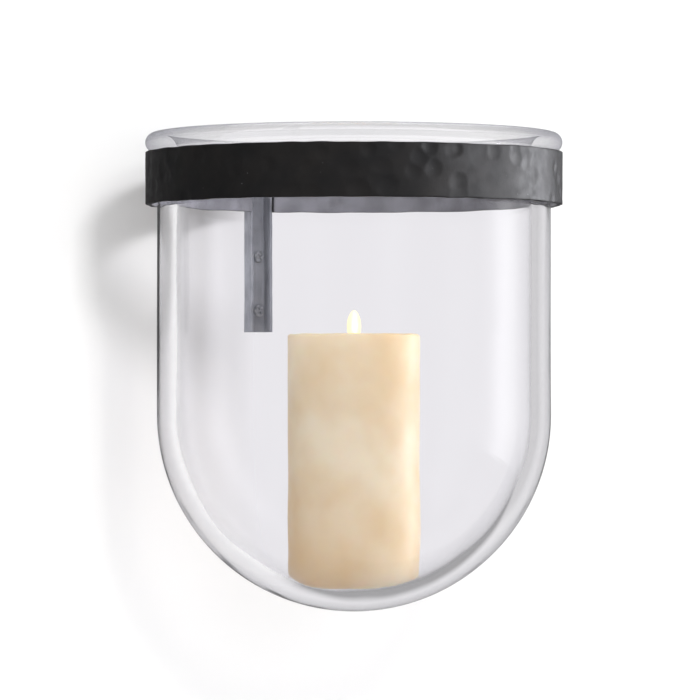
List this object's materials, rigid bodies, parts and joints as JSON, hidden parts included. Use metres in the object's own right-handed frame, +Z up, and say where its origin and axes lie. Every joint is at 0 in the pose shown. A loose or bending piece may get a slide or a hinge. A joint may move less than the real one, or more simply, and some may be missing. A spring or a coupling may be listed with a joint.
{
  "type": "wall sconce candle holder",
  "caption": "Wall sconce: a hammered iron band on a wall channel holds a round-ended clear glass bell by its rolled rim, with a battery pillar candle and swaying flame inside.",
  "frame": {"origin": "on the wall face of the channel, below the band's axis, midway between the two wall screws", "axes": "+Y goes into the wall, -Y faces the room, +Z is up, +X is to the right seen from the room"},
  "size_m": [0.28, 0.328, 0.3205],
  "materials": {
    "black_iron": "satin, hammered, blackened",
    "worn_iron": "satin, blackening worn to grey",
    "screw_steel": "dark zinc plate",
    "clear_glass": "clear, hand blown",
    "ivory_wax": "soft satin wax",
    "white_plastic": "moulded",
    "black_plastic": "moulded, fine grain",
    "grey_plastic": "moulded",
    "amber_plastic": "moulded",
    "cell_jacket": "printed sleeve, plain",
    "nickel_plate": "nickel plate",
    "board_green": "solder resist",
    "component_black": "moulded",
    "copper_wire": "enamelled copper",
    "flame_film": "translucent",
    "lamp_lens": "clear resin",
    "foot_rubber": "matte",
    "lead_red": "insulated lead"
  },
  "bodies": {
    "holder": {"ring_band": "black_iron", "wall_channel": "worn_iron", "weld_beads": "black_iron", "wall_screws": "screw_steel"},
    "glass": {"glass_bell": "clear_glass"},
    "candle": {"wax_shell": "ivory_wax", "core_housing": "white_plastic", "base_cap": "black_plastic", "battery_holder": "white_plastic", "battery_cells": "cell_jacket", "terminal_plates": "nickel_plate", "contact_springs": "nickel_plate", "switch_body": "black_plastic", "circuit_board": "board_green", "board_components": "component_black", "coil_bobbin": "white_plastic", "coil_winding": "copper_wire", "flame_guide": "amber_plastic", "pivot_wire": "nickel_plate", "lamp_sleeve": "white_plastic", "led_lamp": "lamp_lens", "base_screws": "screw_steel", "rubber_feet": "foot_rubber", "lead_wires": "lead_red"},
    "flame": {"flame_paddle": "flame_film", "flame_magnet": "nickel_plate"},
    "door": {"battery_door": "black_plastic", "door_contact": "nickel_plate"},
    "switch": {"switch_slider": "grey_plastic"}
  },
  "joints": [
    {"name": "glass_lift", "type": "slide", "parent": "holder", "child": "glass", "axis": [0, 0, 1], "range_m": [0, 0.32]},
    {"name": "candle_lift", "type": "slide", "parent": "glass", "child": "candle", "axis": [0, 0, 1], "range_m": [0, 0.32]},
    {"name": "flame_sway", "type": "hinge", "parent": "candle", "child": "flame", "pos_m": [0, -0.152, -0.06117], "axis": [0, 1, 0], "range_deg": [-8, 8]},
    {"name": "door_twist", "type": "hinge", "parent": "candle", "child": "door", "pos_m": [0, -0.152, -0.19767], "axis": [0, 0, 1], "range_deg": [0, 45]},
    {"name": "switch_slide", "type": "slide", "parent": "candle", "child": "switch", "axis": [0, 1, 0], "range_m": [0, 0.004]}
  ]
}
